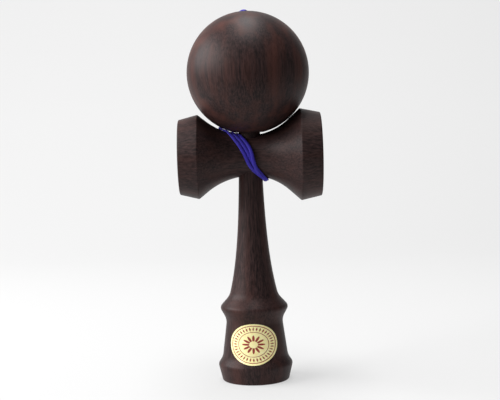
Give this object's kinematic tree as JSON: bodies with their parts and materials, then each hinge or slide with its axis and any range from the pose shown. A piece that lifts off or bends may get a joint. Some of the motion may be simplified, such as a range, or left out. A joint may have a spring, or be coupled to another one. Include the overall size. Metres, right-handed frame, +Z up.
{
  "type": "kendama",
  "caption": "Dark wooden cup-and-ball toy: a turned spike handle with a double-cup cross piece and a bored ball resting on the spike, its blue string wound round the waist.",
  "frame": {"origin": "centre of the foot of the handle, on the plane it stands on", "axes": "+Z up along the handle, +X along the cross piece towards the big cup, -Y the front with the seal"},
  "size_m": [0.0708, 0.0608, 0.1854],
  "materials": {
    "dark_wood": "satin lacquer over dark straight-grained hardwood",
    "bead_wood": "bare pale wood",
    "string": "braided violet-blue cord",
    "seal": "pale gold printed foil"
  },
  "bodies": {
    "handle": {"handle": "dark_wood", "cross_cup": "dark_wood", "seal_label": "seal", "string_winding": "string", "string_run": "string", "string_lead": "string", "handle_knot": "string"},
    "bead": {"stopper_bead": "bead_wood", "bead_knot": "string", "string_tail": "string"},
    "ball": {"ball": "dark_wood"}
  },
  "joints": [
    {"name": "ball_lift", "type": "slide", "parent": "handle", "child": "bead", "axis": [0, 0, 1], "range_m": [0, 0.045], "deforming": ["string_run"]},
    {"name": "ball_spin", "type": "hinge", "parent": "bead", "child": "ball", "pos_m": [0, 0, 0.15385], "axis": [0, 0, 1], "continuous": true}
  ]
}
